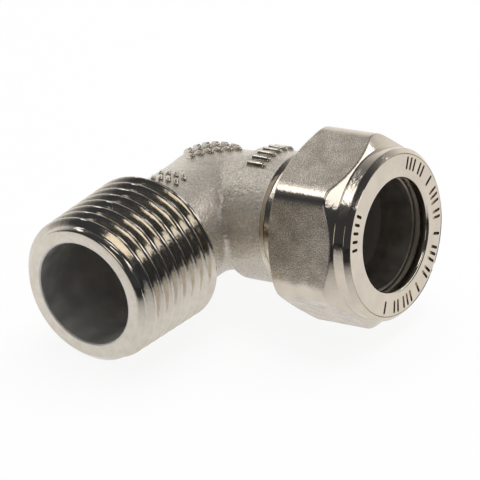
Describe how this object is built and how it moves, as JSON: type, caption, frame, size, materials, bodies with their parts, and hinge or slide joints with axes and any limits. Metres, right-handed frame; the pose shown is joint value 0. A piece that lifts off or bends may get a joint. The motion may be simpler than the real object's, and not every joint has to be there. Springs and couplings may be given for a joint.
{
  "type": "compression fitting",
  "caption": "Right-angle plumbing elbow with a male taper pipe thread on its long arm and a hexagonal compression nut with an olive that clamps plain tube in the other.",
  "frame": {"origin": "middle of the footprint, level with the lowest corner of the nut", "axes": "+X out of the nut along the tube's axis, -Y out of the male thread along its axis, +Z square to both bores"},
  "size_m": [0.04, 0.0422, 0.0259],
  "materials": {
    "elbow_body": "nickel plated, satin forged skin with bright turned threads",
    "compression_nut": "nickel plated, satin flats with bright turned ends",
    "olive": "bare turned brass"
  },
  "bodies": {
    "elbow": {"elbow_body": "elbow_body"},
    "olive": {"olive": "olive"},
    "nut": {"compression_nut": "compression_nut"}
  },
  "joints": [
    {"name": "nut_travel", "type": "slide", "parent": "elbow", "child": "olive", "axis": [1, 0, 0], "range_m": [0, 0.00364]},
    {"name": "nut_turn", "type": "hinge", "parent": "olive", "child": "nut", "pos_m": [-0.00945, 0.00835, 0.01293], "axis": [1, 0, 0], "range_deg": [0, 720]}
  ],
  "couplings": [
    {"joint": "nut_travel", "follows": "nut_turn", "m_per_rad": 0.00028871}
  ]
}
